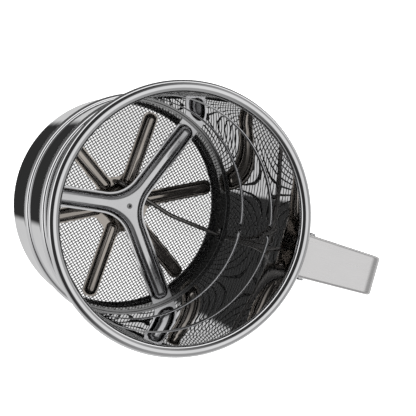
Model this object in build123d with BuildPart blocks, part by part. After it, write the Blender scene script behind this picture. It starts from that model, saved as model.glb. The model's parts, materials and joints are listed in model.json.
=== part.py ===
"""One-hand flour sifter: a cup with a woven mesh floor and a squeeze trigger.

Millimetres, +Z up towards the open rim, origin on the cup's axis at its base,
+X towards the handle. The trigger pulls a wire link, and the link turns the
six-armed agitator on the mesh.
"""

from build123d import *
import math
import os

os.makedirs("parts", exist_ok=True)

# cup
CUP_R = 48.0
SHEET = 0.5
CURL_R = 2.1
CURL_Z = 92.5
CURL_END = 305
HEM_R = 45.2
HEM_HEIGHT = 1.0
HEM_BEND_R = 1.2
HEM_WIDTH = 1.9
HEM_CORNER_R = 0.12
BEAD_PROUD = 1.3
BEAD_CHORD = 4.6
BEADS = ((33.2, 2.0, 8.6), (64.7, 2.4, 11.0))
SEAM_ANGLES = (5.8, 10.4, 15.0)
SEAM_STEPS = (0.28, 0.2, 0.02)
SEAM_BOTTOM = 16.6
SEAM_TOP = 90.0

# mesh screen and the hoop that holds its edge
MESH_SHEET = 0.5
MESH_Z = 1.35
MESH_WALL_R = 47.2
MESH_BEND_R = 2.3
MESH_TOP = 15.6
HOOP_INNER_R = 46.5
HOOP_SHEET = 0.4
HOOP_BOTTOM = 9.5
HOOP_TOP = 16.2
HOOP_LIP_R = 47.45
HOOP_LIP_SHEET = 0.45
HOOP_EDGE_R = 0.12

# slot for the link, with its eyelet
SLOT_Y = -0.45
SLOT_Z = 12.9
SLOT_WIDTH = 4.7
SLOT_HEIGHT = 4.7
SLOT_CUT_SPAN = (44.0, 50.0)
EYELET_SHEET = 0.3
EYELET_FLANGE = 0.45
EYELET_FLANGE_SHEET = 0.4
EYELET_SPAN = (45.9, 48.1)
FIT_GAP = 0.05

# spider bridge
SPIDER_ANGLE = 67.5
SPIDER_ARMS = 3
SPIDER_SHEET = 0.8
SPIDER_FLANGE_Z = 14.5
SPIDER_TOP = 18.3
SPIDER_RIB_WIDTH = 7.8
SPIDER_WIDTH = 9.2
SPIDER_RIB_REACH = 45.3
SPIDER_REACH = 46.45
SPIDER_FILLET = 15.0
SPIDER_CROWN_R = 3.3
SPIDER_TIP_R = 3.4
SPIDER_FLANGE_TIP_R = 1.0
FOOT_DROP = 4.4
FOOT_WIDTH = 6.4
FOOT_SHEET = 0.7

# post that the agitator turns on
POST_R = 1.2
POST_TOP = 18.0
POST_HEAD_R = 2.3
POST_HEAD_Z = 2.0
POST_HEAD_HEIGHT = 0.5
POST_COLLAR_HEIGHT = 0.7
POST_BORE_R = 0.8
POST_BORE_DEPTH = 1.4

# agitator
AGITATOR_ANGLE = 26.5
AGITATOR_ARMS = 6
AGITATOR_SHEET = 0.6
AGITATOR_Z = 3.0
AGITATOR_RIB_HEIGHT = 3.2
AGITATOR_RIB_WIDTH = 5.8
AGITATOR_WIDTH = 6.8
AGITATOR_REACH = 44.0
AGITATOR_RIB_START = 8.7
AGITATOR_TIP_FLANGE = 0.6
AGITATOR_TIP_R = 2.6
AGITATOR_HUB_R = 12.6
AGITATOR_FILLET = 3.0
AGITATOR_CROWN_R = 2.6
BUSH_R = 2.6
BUSH_TOP = 8.6
BUSH_FLANGE_R = 4.0
BUSH_FLANGE_HEIGHT = 1.0
LOWER_WASHER_R = 3.0
UPPER_WASHER_R = 3.4
UPPER_WASHER_Z = 8.7
UPPER_WASHER_SHEET = 0.5

# wire link
WIRE_R = 0.95
HUB_HOLE_R = 10.5
HUB_HOLE_ANGLE = 118.0
HUB_HOLE_GAP = 0.08
LINK_DROP_Z = 2.4
LINK_HUB_Z = 8.6
LINK_KINK = (22.0, 1.2, 10.9)
LINK_FOOT = (56.5, -2.3, 14.0)
LINK_TOP = 20.1
LINK_RADII = (2.4, 30.0, 2.4)
NUT_R = 2.6
NUT_BOTTOM = 18.1
NUT_HEIGHT = 1.2
NUT_EDGE_R = 0.5
NUT_GAP = 0.03

# handle, set a little to one side of the plane y = 0
HANDLE_Y = -0.45
HANDLE_PLANE = Plane.XZ.offset(-HANDLE_Y)
STRAP_SHEET = 0.9
STRAP_DEPTH = 4.0
STRAP_TOP = 88.9
STRAP_BOTTOM = 5.5
STRAP_X = 89.8
STRAP_FOOT_X = 87.0
STRAP_RADII = (6.0, 9.0)
STRAP_HALF_AT_AXIS = 10.05
STRAP_TAPER = 0.0224
STRAP_EDGE_R = 1.2
STRAP_SPAN = (40.0, 95.0)
TAB_HALF_WIDTH = 7.0
TAB_SPAN = (40.0, 60.0)
TAB_R = CUP_R + FIT_GAP
TOP_TAB_DROP = 9.4
FOOT_TAB_RISE = 4.7

# hinge
HINGE_X = 56.5
HINGE_Z = 83.0
PIN_R = 1.5
PIN_HOLE_R = 1.57
PIN_HEAD_R = 2.3
PIN_HEAD_Y = 8.91
PIN_HEAD_HEIGHT = 0.9
PIN_HEAD_EDGE_R = 0.7
EAR_R = 3.9
SPACER_R = 2.05
HINGE_WASHER_R = 3.0
HINGE_WASHER_SHEET = 1.3
HINGE_GAP = 0.1

# trigger
LEVER_WIDTH = 12.0
LEVER_SHEET = 0.9
LEVER_DEPTH = 4.0
LEVER_WEB = ((52.4, 85.6), (52.4, 77.0), (69.2, 63.0), (70.6, 33.0), (61.4, 16.7))
LEVER_RADII = (10.0, 9.0, 12.0)
LEVER_EDGE_R = 0.8
FOOT_TAB_Z = 15.5
FOOT_TAB_X = 48.5
FOOT_TAB_WIDTH = 10.0
FOOT_TAB_CORNER_R = 1.5
FOOT_TAB_LAP = 1.0
FOOT_SLOT_LENGTH = 4.7
FOOT_SLOT_WIDTH = 3.6
FOOT_SLOT_SHIFT = 0.62

# springs
RETURN_WIRE_R = 0.45
RETURN_COIL_R = 2.65
RETURN_PITCH = 1.2
RETURN_TURNS = 5.878
RETURN_START_ANGLE = 19
RETURN_LONG_LEG = 15.4
RETURN_SHORT_LEG = 6.1
AGITATOR_SPRING_R = 2.3
AGITATOR_SPRING_WIRE_R = 0.35
AGITATOR_SPRING_TURNS = 5

CUP_INNER_R = CUP_R - SHEET

# how far fused pieces reach into each other, and cuts that go right through the object
OVERLAP = 0.1
TALL = 100.0
WIDE = 12.0


def radial_plane(angle):
    """Upright plane through the cup's axis: local x is radial, local y is up."""
    a = math.radians(angle)
    return Plane(
        origin=(0, 0, 0),
        x_dir=(math.cos(a), math.sin(a), 0),
        z_dir=(math.sin(a), -math.cos(a), 0),
    )


def polar(radius, angle):
    a = math.radians(angle)
    return (radius * math.cos(a), radius * math.sin(a))


def save(piece, name):
    piece.part.label = name
    export_step(piece.part, f"parts/{name}.step")


def ring(inner, outer, bottom, top):
    """A plain tube on the cup's axis."""
    with BuildPart() as tube:
        with BuildSketch(Plane.XY.offset(bottom)):
            Circle(outer)
            Circle(inner, mode=Mode.SUBTRACT)
        extrude(amount=top - bottom)
    return tube


def slot_block(grow, start, end):
    """Rounded block that fills the link's slot, from one x to another."""
    width = SLOT_WIDTH + 2 * grow
    with BuildPart() as block:
        with BuildSketch(Plane(origin=(start, SLOT_Y, SLOT_Z), x_dir=(0, 1, 0), z_dir=(1, 0, 0))):
            RectangleRounded(width, SLOT_HEIGHT + 2 * grow, width / 2 - 0.01)
        extrude(amount=end - start)
    return block.part


def slot_cut():
    """What is cut from the wall, mesh and hoop to take the eyelet."""
    return slot_block(EYELET_SHEET + FIT_GAP, *SLOT_CUT_SPAN)


def cup_beads(inset):
    """Both beads as round bars, with ball ends where the lap seam interrupts them."""
    outer_r = (BEAD_CHORD**2 / 4 + BEAD_PROUD**2) / (2 * BEAD_PROUD)
    centre_r = CUP_R + BEAD_PROUD - outer_r
    with BuildPart() as beads:
        for height, gap_start, gap_end in BEADS:
            with BuildSketch(radial_plane(gap_end)):
                with Locations((centre_r, height)):
                    Circle(outer_r - inset)
            revolve(axis=Axis.Z, revolution_arc=360 - (gap_end - gap_start))
            for angle in (gap_start, gap_end):
                x, y = polar(centre_r, angle)
                with Locations((x, y, height)):
                    Sphere(outer_r - inset)
    return beads.part


def seam_lap():
    """Plan of the sheet's lapped end: a step at one edge that fades into the wall."""
    with BuildSketch() as plan:
        with BuildLine():
            outside = ThreePointArc(*[polar(CUP_INNER_R + OVERLAP, a) for a in SEAM_ANGLES])
            steps = zip(SEAM_STEPS, SEAM_ANGLES)
            inside = ThreePointArc(*[polar(CUP_INNER_R - step, a) for step, a in steps])
            Line(outside @ 0, inside @ 0)
            Line(outside @ 1, inside @ 1)
        make_face()
    return plan.sketch


def cup_shell():
    """Rolled sheet wall with a curled rim, two beads, a lap seam and a turned-in hem."""
    wall_r = CUP_R - SHEET / 2
    with BuildPart() as cup:
        with BuildSketch(Plane.XZ):
            with BuildLine():
                lip = Line((HEM_R + SHEET / 2, SHEET / 2), (wall_r - HEM_BEND_R, SHEET / 2))
                bend = JernArc(lip @ 1, (1, 0), HEM_BEND_R, 90)
                wall = Line(bend @ 1, (wall_r, CURL_Z))
                JernArc(wall @ 1, (0, 1), CURL_R, -CURL_END)
            trace(line_width=SHEET)
            with Locations((HEM_R + HEM_WIDTH / 2, HEM_HEIGHT / 2)):
                RectangleRounded(HEM_WIDTH, HEM_HEIGHT, HEM_CORNER_R)
        revolve(axis=Axis.Z)
        add(cup_beads(0))
        with BuildSketch(Plane.XY.offset(HOOP_TOP)):
            Circle(CUP_INNER_R)
        extrude(amount=SEAM_TOP - HOOP_TOP, mode=Mode.SUBTRACT)
        add(cup_beads(SHEET), mode=Mode.SUBTRACT)
        with BuildSketch(Plane.XY.offset(SEAM_BOTTOM)):
            add(seam_lap())
        extrude(amount=SEAM_TOP - SEAM_BOTTOM)
        add(slot_cut(), mode=Mode.SUBTRACT)
    return cup


def mesh_screen():
    """Mesh floor with its edge turned up the wall, as a plain sheet."""
    with BuildPart() as mesh:
        with BuildSketch(Plane.XZ):
            with BuildLine():
                floor = Line((0, MESH_Z), (MESH_WALL_R - MESH_BEND_R, MESH_Z))
                bend = JernArc(floor @ 1, (1, 0), MESH_BEND_R, 90)
                Line(bend @ 1, (MESH_WALL_R, MESH_TOP))
            trace(line_width=MESH_SHEET)
            with Locations((-MESH_SHEET, MESH_Z)):
                Rectangle(2 * MESH_SHEET, 2 * MESH_SHEET, mode=Mode.SUBTRACT)
        revolve(axis=Axis.Z)
        add(slot_cut(), mode=Mode.SUBTRACT)
    return mesh


def mesh_retaining_ring():
    """Smooth hoop inside the mesh's turned-up edge, its lip turned out over it to the wall."""
    with BuildPart() as hoop:
        with BuildSketch(Plane.XY.offset(HOOP_BOTTOM)):
            Circle(HOOP_INNER_R + HOOP_SHEET)
        extrude(amount=HOOP_TOP - HOOP_BOTTOM)
        with BuildSketch(Plane.XY.offset(HOOP_TOP - HOOP_LIP_SHEET)):
            Circle(HOOP_LIP_R)
        extrude(amount=HOOP_LIP_SHEET)
        with BuildSketch(Plane.XY.offset(HOOP_BOTTOM)):
            Circle(HOOP_INNER_R)
        extrude(amount=HOOP_TOP - HOOP_BOTTOM, mode=Mode.SUBTRACT)
        fillet(hoop.edges().group_by(Axis.Z)[-1], HOOP_EDGE_R)
        fillet(hoop.edges().group_by(Axis.Z)[0], HOOP_EDGE_R)
        add(slot_cut(), mode=Mode.SUBTRACT)
    return hoop


def link_slot_eyelet():
    """Flanged liner of the slot, pressed through the hoop, mesh and wall."""
    start, end = EYELET_SPAN
    with BuildPart() as eyelet:
        add(slot_block(EYELET_SHEET + EYELET_FLANGE, start, start + EYELET_FLANGE_SHEET))
        add(slot_block(EYELET_SHEET, start, end))
        add(slot_block(0, start, end), mode=Mode.SUBTRACT)
    return eyelet


def star(count, first_angle, width, reach, hub_r, corner_r, hub_fillet):
    """Flat star: arms that run from the centre, with filleted inside corners."""
    with BuildSketch() as outline:
        if hub_r:
            Circle(hub_r)
        with PolarLocations(reach / 2, count, start_angle=first_angle):
            Rectangle(reach, width)
        inner = outline.vertices().filter_by(lambda v: math.hypot(v.X, v.Y) < reach * 0.6)
        fillet(inner, hub_fillet)
        tips = outline.vertices().filter_by(lambda v: math.hypot(v.X, v.Y) > reach * 0.95)
        fillet(tips, corner_r)
    return outline.sketch


def crowned(outline, bottom, height, crown_r):
    """Raised block with a rounded top edge, to press or to hollow a rib with."""
    with BuildPart() as block:
        with BuildSketch(Plane.XY.offset(bottom)):
            add(outline)
        extrude(amount=height)
        fillet(block.edges().group_by(Axis.Z)[-1], crown_r)
    return block.part


def three_arms(width, reach, tip_r):
    """Plan of the bridge at one width; its inside corners keep one common centre."""
    corner = SPIDER_FILLET - (width - SPIDER_RIB_WIDTH) / 2
    return star(SPIDER_ARMS, SPIDER_ANGLE, width, reach, 0, tip_r, corner)


def spider_bridge():
    """Pressed three-armed bridge: domed hollow arms, closed ends and turned-down feet."""
    rise = SPIDER_TOP - SPIDER_FLANGE_Z
    rib = three_arms(SPIDER_RIB_WIDTH, SPIDER_RIB_REACH, SPIDER_TIP_R)
    hollow_width = SPIDER_RIB_WIDTH - 2 * SPIDER_SHEET
    hollow = three_arms(hollow_width, SPIDER_RIB_REACH - SPIDER_SHEET, SPIDER_TIP_R - SPIDER_SHEET)
    flange = three_arms(SPIDER_WIDTH, SPIDER_REACH + 1, SPIDER_FLANGE_TIP_R)
    inner_crown_r = SPIDER_CROWN_R - SPIDER_SHEET
    with BuildPart() as spider:
        add(crowned(rib, SPIDER_FLANGE_Z, rise, SPIDER_CROWN_R))
        with BuildSketch(Plane.XY.offset(SPIDER_FLANGE_Z)):
            add(flange)
        extrude(amount=SPIDER_SHEET)
        with BuildSketch(Plane.XY.offset(SPIDER_FLANGE_Z - FOOT_DROP)):
            with PolarLocations(SPIDER_REACH, SPIDER_ARMS, start_angle=SPIDER_ANGLE):
                Rectangle(4 * FOOT_SHEET, FOOT_WIDTH)
            Circle(SPIDER_REACH - FOOT_SHEET, mode=Mode.SUBTRACT)
        extrude(amount=FOOT_DROP + SPIDER_SHEET)
        with BuildSketch(Plane.XY.offset(SPIDER_FLANGE_Z - FOOT_DROP)):
            Circle(SPIDER_REACH)
        extrude(amount=rise + FOOT_DROP, mode=Mode.INTERSECT)
        add(crowned(hollow, SPIDER_FLANGE_Z, rise - SPIDER_SHEET, inner_crown_r), mode=Mode.SUBTRACT)
        with BuildSketch(Plane.XY.offset(SPIDER_FLANGE_Z)):
            Circle(POST_R + FIT_GAP)
        extrude(amount=rise, mode=Mode.SUBTRACT)
    return spider


def pivot_post():
    """Rivet with a hollow end, hung from the bridge's hub, that carries the agitator."""
    collar_z = SPIDER_TOP - SPIDER_SHEET - FIT_GAP
    with BuildPart() as post:
        with BuildSketch(Plane.XY.offset(POST_HEAD_Z)):
            Circle(POST_R)
        extrude(amount=POST_TOP - POST_HEAD_Z)
        with BuildSketch(Plane.XY.offset(POST_HEAD_Z)):
            Circle(POST_HEAD_R)
        extrude(amount=POST_HEAD_HEIGHT)
        with BuildSketch(Plane.XY.offset(collar_z - POST_COLLAR_HEIGHT)):
            Circle(POST_HEAD_R)
        extrude(amount=POST_COLLAR_HEIGHT)
        with BuildSketch(Plane.XY.offset(POST_TOP - POST_BORE_DEPTH)):
            Circle(POST_BORE_R)
        extrude(amount=POST_BORE_DEPTH, mode=Mode.SUBTRACT)
    return post


def agitator_ribs(inset):
    """Plan of the agitator's ribs: round-ended bars, drawn in by an inset."""
    start = AGITATOR_RIB_START
    reach = AGITATOR_REACH - AGITATOR_TIP_FLANGE
    with BuildSketch() as ribs:
        with PolarLocations((reach + start) / 2, AGITATOR_ARMS, start_angle=AGITATOR_ANGLE):
            SlotOverall(reach - start - 2 * inset, AGITATOR_RIB_WIDTH - 2 * inset)
    return ribs.sketch


def agitator():
    """Six-armed pressed rotor: a flat hub and arms with a raised hollow rib."""
    outline = star(
        AGITATOR_ARMS,
        AGITATOR_ANGLE,
        AGITATOR_WIDTH,
        AGITATOR_REACH,
        AGITATOR_HUB_R,
        AGITATOR_TIP_R,
        AGITATOR_FILLET,
    )
    wall = AGITATOR_SHEET
    x, y = polar(HUB_HOLE_R, HUB_HOLE_ANGLE)
    ribs = crowned(agitator_ribs(0), AGITATOR_Z, AGITATOR_RIB_HEIGHT, AGITATOR_CROWN_R)
    hollows = crowned(
        agitator_ribs(wall), AGITATOR_Z, AGITATOR_RIB_HEIGHT - wall, AGITATOR_CROWN_R - wall
    )
    with BuildPart() as rotor:
        with BuildSketch(Plane.XY.offset(AGITATOR_Z)):
            add(outline)
        extrude(amount=AGITATOR_SHEET)
        add(ribs)
        add(hollows, mode=Mode.SUBTRACT)
        with BuildSketch(Plane.XY.offset(AGITATOR_Z)):
            Circle(BUSH_R + FIT_GAP)
            with Locations((x, y)):
                Circle(WIRE_R + HUB_HOLE_GAP)
        extrude(amount=AGITATOR_SHEET, mode=Mode.SUBTRACT)
    return rotor


def agitator_bush():
    """Flanged bush in the agitator's hub that turns on the post."""
    flange_z = AGITATOR_Z + AGITATOR_SHEET + FIT_GAP
    with BuildPart() as bush:
        with BuildSketch(Plane.XY.offset(AGITATOR_Z)):
            Circle(BUSH_R)
        extrude(amount=BUSH_TOP - AGITATOR_Z)
        with BuildSketch(Plane.XY.offset(flange_z)):
            Circle(BUSH_FLANGE_R)
        extrude(amount=BUSH_FLANGE_HEIGHT)
        with BuildSketch(Plane.XY.offset(AGITATOR_Z)):
            Circle(POST_R + FIT_GAP)
        extrude(amount=BUSH_TOP - AGITATOR_Z, mode=Mode.SUBTRACT)
    return bush


def lower_thrust_washer():
    """Washer between the post's head and the agitator's hub."""
    head_top = POST_HEAD_Z + POST_HEAD_HEIGHT
    return ring(POST_R + FIT_GAP, LOWER_WASHER_R, head_top + FIT_GAP, AGITATOR_Z - FIT_GAP)


def upper_thrust_washer():
    """Washer between the bush and the spring."""
    top = UPPER_WASHER_Z + UPPER_WASHER_SHEET
    return ring(POST_R + FIT_GAP, UPPER_WASHER_R, UPPER_WASHER_Z, top)


def agitator_spring():
    """Light compression spring that keeps the agitator down on the mesh."""
    collar_bottom = SPIDER_TOP - SPIDER_SHEET - FIT_GAP - POST_COLLAR_HEIGHT
    bottom = UPPER_WASHER_Z + UPPER_WASHER_SHEET + FIT_GAP + AGITATOR_SPRING_WIRE_R
    height = collar_bottom - 2 * FIT_GAP - AGITATOR_SPRING_WIRE_R - bottom
    coil = Helix(height / AGITATOR_SPRING_TURNS, height, AGITATOR_SPRING_R, center=(0, 0, bottom))
    with BuildPart() as spring:
        with BuildSketch(Plane(origin=coil @ 0, z_dir=coil % 0)):
            Circle(AGITATOR_SPRING_WIRE_R)
        sweep(path=coil, is_frenet=True)
    return spring


def wire(points, radii, wire_r):
    """A round wire along straight runs joined by tangent arcs."""
    with BuildPart() as piece:
        with BuildLine() as route:
            FilletPolyline(*points, radius=list(radii))
        path = route.wires()[0]
        with BuildSketch(Plane(origin=path @ 0, z_dir=path % 0)):
            Circle(wire_r)
        sweep(path=path)
    return piece


def link_rod():
    """Bent wire from the agitator's hub, through the slot, to the trigger's foot."""
    x, y = polar(HUB_HOLE_R, HUB_HOLE_ANGLE)
    foot_x, foot_y, foot_z = LINK_FOOT
    points = [
        (x, y, LINK_DROP_Z),
        (x, y, LINK_HUB_Z),
        LINK_KINK,
        (foot_x, foot_y, foot_z),
        (foot_x, foot_y, LINK_TOP),
    ]
    return wire(points, LINK_RADII, WIRE_R)


def link_push_nut():
    """Domed push-on nut on the end of the link, above the trigger's foot."""
    with BuildPart() as nut:
        with BuildSketch(Plane.XY.offset(NUT_BOTTOM)):
            with Locations(LINK_FOOT[:2]):
                Circle(NUT_R)
        extrude(amount=NUT_HEIGHT)
        fillet(nut.edges().group_by(Axis.Z)[-1], NUT_EDGE_R)
        with BuildSketch(Plane.XY.offset(NUT_BOTTOM)):
            with Locations(LINK_FOOT[:2]):
                Circle(WIRE_R + NUT_GAP)
        extrude(amount=NUT_HEIGHT, mode=Mode.SUBTRACT)
    return nut


def band(line, thickness, side):
    """Face between an open line and its offset, in the line's own plane."""
    with BuildSketch() as face:
        with BuildLine():
            add(line)
            offset(line, amount=thickness, side=side)
        make_face()
    return face.sketch


def side_profile(line, sheet, depth, side):
    """Side view of a folded channel, whole and hollowed, with the hinge's ear on each."""
    with BuildSketch(HANDLE_PLANE) as whole:
        add(band(line, depth, side))
        with Locations((HINGE_X, HINGE_Z)):
            Circle(EAR_R)
    with BuildSketch(HANDLE_PLANE) as hollow:
        add(band(line, depth, side))
        add(band(line, sheet, side), mode=Mode.SUBTRACT)
        with Locations((HINGE_X, HINGE_Z)):
            Circle(EAR_R)
        add(band(line, sheet, side), mode=Mode.SUBTRACT)
    return whole.sketch, hollow.sketch


def web_edges(piece, line):
    """Long outside edges of a channel, those that lie over its web's line."""
    half_way = LEVER_WIDTH / 4
    near = 0.02

    def is_web(edge):
        middle = edge @ 0.5
        aside = abs(middle.Y - HANDLE_Y) > half_way
        return aside and line.distance_to(Vertex(middle.X, middle.Z, 0)) < near

    return piece.edges().filter_by(is_web)


def strap_plan(inset):
    """Plan of the tapering strap, less an inset on each side."""
    start, end = STRAP_SPAN
    near = STRAP_HALF_AT_AXIS - STRAP_TAPER * start - inset
    far = STRAP_HALF_AT_AXIS - STRAP_TAPER * end - inset
    with BuildSketch() as plan:
        with BuildLine():
            Polyline(
                (start, HANDLE_Y - near),
                (end, HANDLE_Y - far),
                (end, HANDLE_Y + far),
                (start, HANDLE_Y + near),
                close=True,
            )
        make_face()
    return plan.sketch


def wall_tab(bottom, top):
    """Curved tab that lies on the cup's wall."""
    with BuildPart() as tab:
        with BuildSketch(Plane.XY.offset(bottom)):
            Circle(TAB_R + STRAP_SHEET)
            Circle(TAB_R, mode=Mode.SUBTRACT)
            with Locations((sum(TAB_SPAN) / 2, HANDLE_Y)):
                Rectangle(TAB_SPAN[1] - TAB_SPAN[0], 2 * TAB_HALF_WIDTH, mode=Mode.INTERSECT)
        extrude(amount=top - bottom)
    return tab.part


def handle_strap():
    """C-shaped handle folded from one strap, its edges turned in, welded to the wall."""
    start = STRAP_SPAN[0]
    with BuildLine() as outer:
        FilletPolyline(
            (start, STRAP_TOP),
            (STRAP_X, STRAP_TOP),
            (STRAP_FOOT_X, STRAP_BOTTOM),
            (start, STRAP_BOTTOM),
            radius=list(STRAP_RADII),
        )
    line = outer.wires()[0]
    whole, hollow = side_profile(line, STRAP_SHEET, STRAP_DEPTH, Side.RIGHT)
    with BuildPart() as cavity:
        with BuildSketch():
            add(strap_plan(STRAP_SHEET))
        extrude(amount=TALL)
        extrude(hollow, amount=WIDE, both=True, mode=Mode.INTERSECT)
    with BuildPart() as strap:
        with BuildSketch():
            add(strap_plan(0))
        extrude(amount=TALL)
        extrude(whole, amount=WIDE, both=True, mode=Mode.INTERSECT)
        fillet(web_edges(strap, line), STRAP_EDGE_R)
        add(cavity.part, mode=Mode.SUBTRACT)
        with BuildSketch(Plane.XY):
            Circle(TAB_R)
        extrude(amount=TALL, mode=Mode.SUBTRACT)
        add(wall_tab(STRAP_TOP - TOP_TAB_DROP, STRAP_TOP - FIT_GAP))
        add(wall_tab(STRAP_BOTTOM + FIT_GAP, STRAP_BOTTOM + FOOT_TAB_RISE))
        with BuildSketch(HANDLE_PLANE):
            with Locations((HINGE_X, HINGE_Z)):
                Circle(PIN_R + FIT_GAP)
        extrude(amount=WIDE, both=True, mode=Mode.SUBTRACT)
    return strap


def hinge_plane(y):
    """Upright plane across the hinge, y along +Y from the handle's middle."""
    return Plane(origin=(HINGE_X, HANDLE_Y + y, HINGE_Z), x_dir=(1, 0, 0), z_dir=(0, 1, 0))


def hinge_pin():
    """Riveted pin with a domed head outside each side of the handle."""
    end = PIN_HEAD_Y + PIN_HEAD_HEIGHT
    with BuildPart() as pin:
        with BuildSketch(hinge_plane(-end)):
            Circle(PIN_HEAD_R)
        extrude(amount=PIN_HEAD_HEIGHT)
        with BuildSketch(hinge_plane(PIN_HEAD_Y)):
            Circle(PIN_HEAD_R)
        extrude(amount=PIN_HEAD_HEIGHT)
        rims = pin.edges().filter_by(lambda e: abs(abs((e @ 0.5).Y - HANDLE_Y) - end) < 0.01)
        fillet(rims, PIN_HEAD_EDGE_R)
        with BuildSketch(hinge_plane(-PIN_HEAD_Y)):
            Circle(PIN_R)
        extrude(amount=2 * PIN_HEAD_Y)
    return pin


def tube_on_hinge(outer, start, length):
    with BuildPart() as tube:
        with BuildSketch(hinge_plane(start)):
            Circle(outer)
            Circle(PIN_HOLE_R, mode=Mode.SUBTRACT)
        extrude(amount=length)
    return tube.part


def hinge_spacer():
    """Thin sleeve on the pin, between the trigger's sides, that carries the spring."""
    half = LEVER_WIDTH / 2 - LEVER_SHEET - HINGE_GAP
    with BuildPart() as spacer:
        add(tube_on_hinge(SPACER_R, -half, 2 * half))
    return spacer


def hinge_washer(side):
    """Washer between the trigger's side and the handle's, on one side of the hinge."""
    middle = side * (LEVER_WIDTH / 2 + HINGE_GAP + HINGE_WASHER_SHEET / 2)
    with BuildPart() as washer:
        add(tube_on_hinge(HINGE_WASHER_R, middle - HINGE_WASHER_SHEET / 2, HINGE_WASHER_SHEET))
    return washer


def trigger_lever():
    """Bowed channel lever, hung on the hinge, with a slotted foot for the link."""
    with BuildLine() as web:
        FilletPolyline(*LEVER_WEB, radius=list(LEVER_RADII))
    line = web.wires()[0]
    whole, hollow = side_profile(line, LEVER_SHEET, LEVER_DEPTH, Side.LEFT)
    foot_end = LEVER_WEB[-1][0] + FOOT_TAB_LAP
    with BuildPart() as lever:
        extrude(whole, amount=LEVER_WIDTH / 2, both=True)
        fillet(web_edges(lever, line), LEVER_EDGE_R)
        extrude(hollow, amount=LEVER_WIDTH / 2 - LEVER_SHEET, both=True, mode=Mode.SUBTRACT)
        with BuildSketch(Plane.XY.offset(FOOT_TAB_Z)):
            with Locations(((FOOT_TAB_X + foot_end) / 2, HANDLE_Y)):
                RectangleRounded(foot_end - FOOT_TAB_X, FOOT_TAB_WIDTH, FOOT_TAB_CORNER_R)
            with Locations((LINK_FOOT[0], LINK_FOOT[1] + FOOT_SLOT_SHIFT)):
                SlotOverall(FOOT_SLOT_LENGTH, FOOT_SLOT_WIDTH, rotation=90, mode=Mode.SUBTRACT)
        extrude(amount=LEVER_SHEET)
        with BuildSketch(HANDLE_PLANE):
            with Locations((HINGE_X, HINGE_Z)):
                Circle(PIN_HOLE_R)
        extrude(amount=WIDE, both=True, mode=Mode.SUBTRACT)
    return lever


def trigger_return_spring():
    """Torsion spring round the spacer: a long leg on the trigger, a short one under the strap."""
    height = RETURN_PITCH * RETURN_TURNS
    coil = Helix(RETURN_PITCH, height, RETURN_COIL_R)
    turned = math.radians(360 * RETURN_TURNS)
    short_way = (-math.sin(turned), math.cos(turned), 0)
    with BuildPart() as upright:
        with BuildSketch(Plane(origin=coil @ 0, z_dir=coil % 0)):
            Circle(RETURN_WIRE_R)
        sweep(path=coil, is_frenet=True)
        for start, way, length in (
            (coil @ 0, (0, -1, 0), RETURN_LONG_LEG),
            (coil @ 1, short_way, RETURN_SHORT_LEG),
        ):
            with BuildSketch(Plane(origin=start, z_dir=way)):
                Circle(RETURN_WIRE_R)
            extrude(amount=length)
            with Locations(start):
                Sphere(RETURN_WIRE_R)
    stand = Location((HINGE_X, HANDLE_Y + height / 2, HINGE_Z), (90, 0, 0))
    with BuildPart() as spring:
        with Locations(stand * Location((0, 0, 0), (0, 0, RETURN_START_ANGLE))):
            add(upright.part)
    return spring


BUILDERS = (
    cup_shell,
    mesh_screen,
    mesh_retaining_ring,
    link_slot_eyelet,
    spider_bridge,
    pivot_post,
    lower_thrust_washer,
    agitator,
    agitator_bush,
    upper_thrust_washer,
    agitator_spring,
    link_rod,
    link_push_nut,
    handle_strap,
    hinge_pin,
    hinge_spacer,
    trigger_lever,
    trigger_return_spring,
)

for build in BUILDERS:
    save(build(), build.__name__)
for name, side in (("hinge_washer_near", -1), ("hinge_washer_far", 1)):
    save(hinge_washer(side), name)
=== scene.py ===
import json
import math

import bmesh
import bpy
import numpy as np
from mathutils import Matrix, Vector


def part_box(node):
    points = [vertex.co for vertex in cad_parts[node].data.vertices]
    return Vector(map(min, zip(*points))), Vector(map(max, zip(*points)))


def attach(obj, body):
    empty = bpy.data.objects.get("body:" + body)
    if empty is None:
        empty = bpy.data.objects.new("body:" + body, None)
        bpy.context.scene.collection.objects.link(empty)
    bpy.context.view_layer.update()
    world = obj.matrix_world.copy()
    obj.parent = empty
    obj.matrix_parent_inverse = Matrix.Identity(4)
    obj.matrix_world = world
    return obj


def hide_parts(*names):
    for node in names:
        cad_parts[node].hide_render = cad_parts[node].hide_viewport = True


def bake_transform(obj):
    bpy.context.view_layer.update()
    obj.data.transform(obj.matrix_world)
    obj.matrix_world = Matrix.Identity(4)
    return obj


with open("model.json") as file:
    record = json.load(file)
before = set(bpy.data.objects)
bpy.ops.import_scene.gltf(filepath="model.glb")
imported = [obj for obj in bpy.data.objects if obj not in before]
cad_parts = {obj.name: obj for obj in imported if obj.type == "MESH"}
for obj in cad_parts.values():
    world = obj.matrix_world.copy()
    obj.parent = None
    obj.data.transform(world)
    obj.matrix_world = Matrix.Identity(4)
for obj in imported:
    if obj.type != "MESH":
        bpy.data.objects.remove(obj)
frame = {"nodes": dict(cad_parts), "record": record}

MM = 0.001

# camera: above the open mouth, leaning towards the side away from the handle, and rolled
CAMERA_PLACE = Vector((-0.1326, -0.0049, 0.4628))
CAMERA_AIM = Vector((0.3541, 0.0294, -0.9348))
CAMERA_UP = Vector((-0.2674, 0.9610, -0.0710))
CAMERA_LENS = 90.9

# floor under the cup, and the one lamp
FLOOR_HALF = 4.0
FLOOR_Z = -0.2 * MM
FLOOR_COLOUR = (0.9, 0.9, 0.9, 1)
FLOOR_ROUGHNESS = 0.9
KEY_PLACE = (-0.35, 0.25, 0.9)
KEY_AIM = (0, 0, 0.04)
KEY_SIZE = 0.5
KEY_POWER = 6

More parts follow.
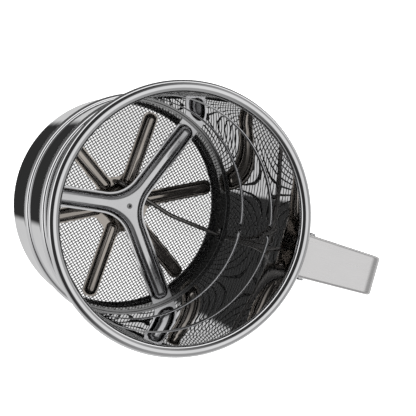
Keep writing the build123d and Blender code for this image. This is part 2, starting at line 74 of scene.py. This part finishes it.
# woven screen: wires that weave over and under each other, then flatten where they meet the hoop
WARP_PITCH = 1.23 * MM
WEFT_PITCH = 1.37 * MM
WIRE_RADIUS = 0.19 * MM
WIRE_SIDES = 6
STEPS_PER_CROSSING = 4
WARP_ANGLE = math.radians(46)
SCREEN_BEND = 2.33 * MM
SCREEN_TOP = 10.3 * MM
FLATTEN_LENGTH = 1.5 * MM
LEAST_WAVE = 0.05
HOOP_OFFSET = 0.6

# what surrounds the object: reflections see a level of light by direction, all else sees SURROUND
SURROUND = 0.95
HORIZON_EDGES = (-0.03, 0.03)
DARK_SIDE = (-0.451, 0.892, 0.0)
DARK_EDGES = (-0.10, -0.07)
DARK_END = (-0.05, 0.0)
STEEP_EDGES = (-0.86, -0.70)
SOFT_EDGES = (-0.1, 0.8)
SOFT_DARK = 0.10
LIGHT_BELOW = 0.62
DARK_BELOW = 0.03
LOW_EDGES = (0.22, 0.38)
LOW_SIDE = (-0.6, 0.8, 0.0)
LOW_SIDE_EDGES = (-0.3, 0.3)
LOW_LEVELS = (0.35, 1.15)
RING_EDGES = (-0.3, 0.5)
RING_LEVELS = (0.03, 0.35)
OVERHEAD_WAY = (0.30, 0.0, 0.954)
OVERHEAD_EDGES = (0.84, 0.96)
OVERHEAD = 0.80
FLOOR_GLOW = 0.85

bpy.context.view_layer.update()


# ---------------------------------------------------------------- materials

def new_material(name):
    """A new material, its node tree and its main shader."""
    material = bpy.data.materials.new(name)
    material.use_nodes = True
    tree = material.node_tree
    shader = tree.nodes["Principled BSDF"]
    return material, tree, shader


def add_node(tree, kind, **values):
    node = tree.nodes.new(kind)
    for key, value in values.items():
        setattr(node, key, value)
    return node


def stretched_noise(tree, stretch, scale, detail=4.0):
    """Noise in the object's own space, drawn out along the axes with a small stretch."""
    place = add_node(tree, "ShaderNodeTexCoord")
    mapping = add_node(tree, "ShaderNodeMapping")
    mapping.inputs["Scale"].default_value = stretch
    noise = add_node(tree, "ShaderNodeTexNoise")
    noise.inputs["Scale"].default_value = scale
    noise.inputs["Detail"].default_value = detail
    tree.links.new(place.outputs["Object"], mapping.inputs["Vector"])
    tree.links.new(mapping.outputs["Vector"], noise.inputs["Vector"])
    return noise.outputs["Fac"]


def to_range(tree, value, low, high):
    """The value, spread from its usual 0.3 to 0.7 over low to high."""
    spread = add_node(tree, "ShaderNodeMapRange")
    spread.inputs["From Min"].default_value = 0.3
    spread.inputs["From Max"].default_value = 0.7
    spread.inputs["To Min"].default_value = low
    spread.inputs["To Max"].default_value = high
    tree.links.new(value, spread.inputs["Value"])
    return spread.outputs["Result"]


def two_colours(tree, value, first, second):
    """First where the value is low, second where it is high, mixed between."""
    ramp = add_node(tree, "ShaderNodeValToRGB")
    ramp.color_ramp.elements[0].position = 0.35
    ramp.color_ramp.elements[0].color = (*first, 1)
    ramp.color_ramp.elements[1].position = 0.65
    ramp.color_ramp.elements[1].color = (*second, 1)
    tree.links.new(value, ramp.inputs["Fac"])
    return ramp.outputs["Color"]


def bump(tree, shader, layers):
    """Chain of bumps: each layer is a height, its strength and its depth in metres."""
    previous = None
    for height, strength, depth in layers:
        node = add_node(tree, "ShaderNodeBump")
        node.inputs["Strength"].default_value = strength
        node.inputs["Distance"].default_value = depth
        tree.links.new(height, node.inputs["Height"])
        if previous:
            tree.links.new(previous, node.inputs["Normal"])
        previous = node.outputs["Normal"]
    tree.links.new(previous, shader.inputs["Normal"])


def steel(name, light, dark, rough, layers, grain=(1, 1, 1), grain_scale=900):
    """Bare steel: a slight change of tone, roughness that follows the grain, and bumps.

    layers lists each bump as its noise's stretch, scale and detail, then its strength and depth.
    """
    material, tree, shader = new_material(name)
    shader.inputs["Metallic"].default_value = 1.0
    tone = stretched_noise(tree, (1, 1, 1), 35, 3)
    tree.links.new(two_colours(tree, tone, dark, light), shader.inputs["Base Color"])
    lines = stretched_noise(tree, grain, grain_scale, 5)
    tree.links.new(to_range(tree, lines, *rough), shader.inputs["Roughness"])
    heights = []
    for stretch, scale, detail, strength, depth in layers:
        heights.append((stretched_noise(tree, stretch, scale, detail), strength, depth))
    bump(tree, shader, heights)
    return material


def make_materials():
    return {
        "polished_steel": steel(
            "polished_steel", (0.86, 0.86, 0.87), (0.80, 0.80, 0.81), (0.0, 0.02),
            [((0.05, 0.05, 1), 150, 0, 0.8, 0.00002), ((1, 1, 1), 30, 0, 0.5, 0.0001)],
            (1, 1, 0.05), 1200,
        ),
        "satin_steel": steel(
            "satin_steel", (0.72, 0.72, 0.73), (0.62, 0.62, 0.63), (0.07, 0.16),
            [((1, 1, 1), 130, 0, 0.5, 0.00008), ((1, 1, 1), 900, 2, 0.1, 0.00001)],
        ),
        "agitator_steel": steel(
            "agitator_steel", (0.50, 0.46, 0.42), (0.36, 0.33, 0.30), (0.06, 0.14),
            [((1, 1, 1), 130, 0, 0.5, 0.00010), ((1, 1, 1), 900, 2, 0.1, 0.00001)],
        ),
        "handle_steel": steel(
            "handle_steel", (0.80, 0.79, 0.79), (0.77, 0.76, 0.76), (0.24, 0.28),
            [((0.02, 1, 0.02), 2600, 2, 0.02, 0.00001), ((1, 1, 1), 60, 1, 0.04, 0.0002)],
            (0.03, 1, 0.03), 1800,
        ),
        # screen wires: steel's own grey, darkened far below bare steel as painted shade so the wires
        # look dark against the bright floor seen through them
        "mesh_wire": steel(
            "mesh_wire", (0.15, 0.15, 0.15), (0.11, 0.11, 0.11), (0.25, 0.40),
            [((1, 1, 1), 3000, 3, 0.15, 0.00001)],
        ),
        "wire_steel": steel(
            "wire_steel", (0.36, 0.35, 0.34), (0.26, 0.25, 0.24), (0.22, 0.36),
            [((0.05, 1, 1), 3000, 3, 0.2, 0.00002)],
        ),
        "spring_steel": steel(
            "spring_steel", (0.50, 0.50, 0.51), (0.40, 0.40, 0.41), (0.22, 0.32),
            [((1, 1, 1), 3000, 3, 0.15, 0.00001)],
        ),
        "dark_steel": steel(
            "dark_steel", (0.30, 0.30, 0.30), (0.22, 0.22, 0.22), (0.08, 0.16),
            [((1, 1, 1), 400, 1, 0.2, 0.00003)],
        ),
    }


def dress(piece, material):
    """Give a piece this material and no other."""
    piece.data.materials.clear()
    piece.data.materials.append(material)


# ---------------------------------------------------------------- woven screen

def screen_point(distance, angle, flat, floor_z, lift):
    """A point of the screen's middle sheet, moved off it by lift, and the sheet's normal.

    distance is measured along the sheet from the centre: flat floor, quarter bend, wall.
    """
    turn = np.clip((distance - flat) / SCREEN_BEND, 0, math.pi / 2)
    rise = np.maximum(distance - flat - SCREEN_BEND * math.pi / 2, 0)
    radius = np.minimum(distance, flat) + SCREEN_BEND * np.sin(turn)
    height = floor_z + SCREEN_BEND * (1 - np.cos(turn)) + rise
    normal = np.stack(
        [-np.sin(turn) * np.cos(angle), -np.sin(turn) * np.sin(angle), np.cos(turn)], -1
    )
    place = np.stack([radius * np.cos(angle), radius * np.sin(angle), height], -1)
    return place + normal * lift[:, None], normal


def tube_points(place, normal):
    """Rings of points round a path that lies in the sheet with this normal."""
    ring = np.linspace(0, 2 * math.pi, WIRE_SIDES, endpoint=False)
    tangent = np.gradient(place, axis=0)
    tangent /= np.linalg.norm(tangent, axis=1)[:, None]
    side = np.cross(tangent, normal)
    side /= np.linalg.norm(side, axis=1)[:, None]
    up = np.cross(side, tangent)
    circle = (
        np.cos(ring)[None, :, None] * up[:, None, :]
        + np.sin(ring)[None, :, None] * side[:, None, :]
    )
    return (place[:, None, :] + WIRE_RADIUS * circle).reshape(-1, 3)


def tube_faces(base, number):
    """Walls and two ends of a tube with this many lengths, whose first point is numbered base."""
    rows = base + WIRE_SIDES * np.arange(number)[:, None]
    here = np.arange(WIRE_SIDES)[None, :]
    after = (here + 1) % WIRE_SIDES
    quads = np.stack(
        [rows + here, rows + after, rows + WIRE_SIDES + after, rows + WIRE_SIDES + here], -1
    )
    last = base + WIRE_SIDES * number
    first_end = list(range(base + WIRE_SIDES - 1, base - 1, -1))
    last_end = list(range(last, last + WIRE_SIDES))
    return [*quads.reshape(-1, 4).tolist(), first_end, last_end]


def woven_wires(name, weave, start, end, flat, floor_z, hoop_z):
    """All the wires of one direction between two distances along the sheet from its centre.

    weave is the wires' direction, which side they start on, their pitch and the crossing wires' pitch.
    """
    direction, phase, pitch, crossing = weave
    along = np.array([math.cos(direction), math.sin(direction)])
    across = np.array([-along[1], along[0]])
    step = crossing / STEPS_PER_CROSSING
    count = int(end / pitch)
    verts = []
    faces = []
    base = 0
    for i in range(-count, count + 1):
        offset = i * pitch
        reach = math.sqrt(end**2 - offset**2)
        inner = math.sqrt(start**2 - offset**2) if abs(offset) < start else 0
        spans = [(-reach, reach)] if not inner else [(-reach, -inner), (inner, reach)]
        for low, high in spans:
            number = max(int(round((high - low) / step)), 2)
            t = np.linspace(low, high, number + 1)
            flat_place = t[:, None] * along + offset * across
            distance = np.hypot(flat_place[:, 0], flat_place[:, 1])
            angle = np.arctan2(flat_place[:, 1], flat_place[:, 0])
            wall = distance - flat - SCREEN_BEND * math.pi / 2
            to_hoop = hoop_z - floor_z - SCREEN_BEND - wall
            squeeze = np.clip(to_hoop / FLATTEN_LENGTH, LEAST_WAVE, 1)
            wave = np.cos(math.pi * (t / crossing + i)) * phase
            lift = WIRE_RADIUS * (wave * squeeze - HOOP_OFFSET * (1 - squeeze))
            place, normal = screen_point(distance, angle, flat, floor_z, lift)
            verts.append(tube_points(place, normal))
            faces.extend(tube_faces(base, number))
            base += WIRE_SIDES * (number + 1)
    mesh = bpy.data.meshes.new(name)
    mesh.from_pydata(np.concatenate(verts).tolist(), [], faces)
    mesh.shade_smooth()
    piece = bpy.data.objects.new(name, mesh)
    bpy.context.scene.collection.objects.link(piece)
    return piece


def woven_screen(material):
    """Plain weave in two directions: a floor and a turned-up edge, as four pieces."""
    low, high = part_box("mesh_screen")
    hoop_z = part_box("mesh_retaining_ring")[0].z
    floor_z = low.z + 2 * WIRE_RADIUS
    flat = high.x - 2 * WIRE_RADIUS - SCREEN_BEND
    end = flat + SCREEN_BEND * (math.pi / 2 - 1) + SCREEN_TOP - floor_z
    weaves = {
        "warp": (WARP_ANGLE, 1, WARP_PITCH, WEFT_PITCH),
        "weft": (WARP_ANGLE + math.pi / 2, -1, WEFT_PITCH, WARP_PITCH),
    }
    for name, weave in weaves.items():
        for part, start, stop in (("floor", 0, flat), ("edge", flat, end)):
            piece = woven_wires(f"mesh_{name}_{part}", weave, start, stop, flat, floor_z, hoop_z)
            dress(piece, material)
            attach(piece, "cup")
    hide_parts("mesh_screen")


# ---------------------------------------------------------------- hinge spring

def flexing_spring(material):
    """The hinge's torsion spring, one leg under the strap: a still copy of its part, which is then
    hidden.
    """
    name = "trigger_return_spring"
    spring = bpy.data.objects.new("return_spring", frame["nodes"][name].data.copy())
    bpy.context.scene.collection.objects.link(spring)
    dress(spring, material)
    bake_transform(spring)
    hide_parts(name)


# ---------------------------------------------------------------- studio

def zone(tree, value, edges, levels):
    """A level that changes smoothly from one to another as the value crosses two edges."""
    step = add_node(tree, "ShaderNodeMapRange", interpolation_type="SMOOTHSTEP")
    step.inputs["From Min"].default_value = edges[0]
    step.inputs["From Max"].default_value = edges[1]
    step.inputs["To Min"].default_value = levels[0]
    step.inputs["To Max"].default_value = levels[1]
    tree.links.new(value, step.inputs["Value"])
    return step.outputs["Result"]


def mixed(tree, factor, first, second):
    """First where the factor is 0, second where it is 1; each is a level or a socket."""
    mix = add_node(tree, "ShaderNodeMix", data_type="FLOAT")
    tree.links.new(factor, mix.inputs["Factor"])
    for name, value in (("A", first), ("B", second)):
        if isinstance(value, float):
            mix.inputs[name].default_value = value
        else:
            tree.links.new(value, mix.inputs[name])
    return mix.outputs["Result"]


def along(tree, place, way):
    """How far a direction points along a given way."""
    dot = add_node(tree, "ShaderNodeVectorMath", operation="DOT_PRODUCT")
    dot.inputs[1].default_value = way
    tree.links.new(place.outputs["Generated"], dot.inputs[0])
    return dot.outputs["Value"]


def studio_world():
    """White surround; polished steel sees a light and a dark half below, and light overhead."""
    world = bpy.data.worlds.new("studio")
    bpy.context.scene.world = world
    world.use_nodes = True
    tree = world.node_tree
    background = tree.nodes["Background"]
    place = add_node(tree, "ShaderNodeTexCoord")
    split = add_node(tree, "ShaderNodeSeparateXYZ")
    tree.links.new(place.outputs["Generated"], split.inputs[0])
    side = zone(tree, along(tree, place, DARK_SIDE), DARK_EDGES, (LIGHT_BELOW, DARK_BELOW))
    past_end = zone(tree, split.outputs["X"], DARK_END, (0.0, 1.0))
    hard = mixed(tree, past_end, side, LIGHT_BELOW)
    soft = zone(tree, along(tree, place, DARK_SIDE), SOFT_EDGES, (LIGHT_BELOW, SOFT_DARK))
    steep = zone(tree, split.outputs["Z"], STEEP_EDGES, (1.0, 0.0))
    below = mixed(tree, steep, soft, hard)
    ring_level = zone(tree, split.outputs["X"], RING_EDGES, RING_LEVELS)
    low = zone(tree, split.outputs["Z"], LOW_EDGES, (1.0, 0.0))
    low_level = zone(tree, along(tree, place, LOW_SIDE), LOW_SIDE_EDGES, LOW_LEVELS)
    aside = mixed(tree, low, ring_level, low_level)
    overhead = zone(tree, along(tree, place, OVERHEAD_WAY), OVERHEAD_EDGES, (0.0, 1.0))
    above = mixed(tree, overhead, aside, OVERHEAD)
    is_above = zone(tree, split.outputs["Z"], HORIZON_EDGES, (0.0, 1.0))
    seen = mixed(tree, is_above, below, above)
    path = add_node(tree, "ShaderNodeLightPath")
    level = mixed(tree, path.outputs["Is Glossy Ray"], SURROUND, seen)
    tree.links.new(level, background.inputs["Color"])
    background.inputs["Strength"].default_value = 1.0


def studio_floor():
    """Pale floor under the cup, glowing so that it stays white, and not seen in the steel."""
    mesh = bpy.data.meshes.new("floor")
    grid = bmesh.new()
    bmesh.ops.create_grid(grid, x_segments=1, y_segments=1, size=FLOOR_HALF)
    grid.to_mesh(mesh)
    grid.free()
    floor = bpy.data.objects.new("floor", mesh)
    floor.location.z = FLOOR_Z
    bpy.context.scene.collection.objects.link(floor)
    material, tree, shader = new_material("floor")
    shader.inputs["Base Color"].default_value = FLOOR_COLOUR
    shader.inputs["Roughness"].default_value = FLOOR_ROUGHNESS
    shader.inputs["Specular IOR Level"].default_value = 0.0
    shader.inputs["Emission Color"].default_value = (1, 1, 1, 1)
    shader.inputs["Emission Strength"].default_value = FLOOR_GLOW
    floor.data.materials.append(material)
    floor.visible_glossy = False


def soft_light(name, place, aim, size, power):
    """A round lamp that lights matt surfaces and isn't seen in polished ones."""
    lamp = bpy.data.lights.new(name, "AREA")
    lamp.shape = "DISK"
    lamp.size = size
    lamp.energy = power
    holder = bpy.data.objects.new(name, lamp)
    holder.location = place
    holder.rotation_euler = (Vector(aim) - Vector(place)).to_track_quat("-Z", "Y").to_euler()
    holder.visible_glossy = False
    bpy.context.scene.collection.objects.link(holder)


def make_camera():
    lens = bpy.data.cameras.new("camera")
    lens.sensor_width = 36
    lens.lens = CAMERA_LENS
    lens.clip_start = 0.01
    camera = bpy.data.objects.new("camera", lens)
    back = -CAMERA_AIM.normalized()
    right = CAMERA_UP.cross(back).normalized()
    up = back.cross(right)
    turn = Matrix((right, up, back)).transposed()
    camera.matrix_world = Matrix.Translation(CAMERA_PLACE) @ turn.to_4x4()
    bpy.context.scene.collection.objects.link(camera)
    bpy.context.scene.camera = camera


bpy.context.scene.view_settings.view_transform = "Standard"
make_camera()
studio_world()
studio_floor()
soft_light("key", KEY_PLACE, KEY_AIM, KEY_SIZE, KEY_POWER)

MATERIALS = make_materials()
for entry in frame["record"]["subparts"]:
    dress(frame["nodes"][entry["node"]], MATERIALS[entry["material_slot"]])
woven_screen(MATERIALS["mesh_wire"])
flexing_spring(MATERIALS["spring_steel"])
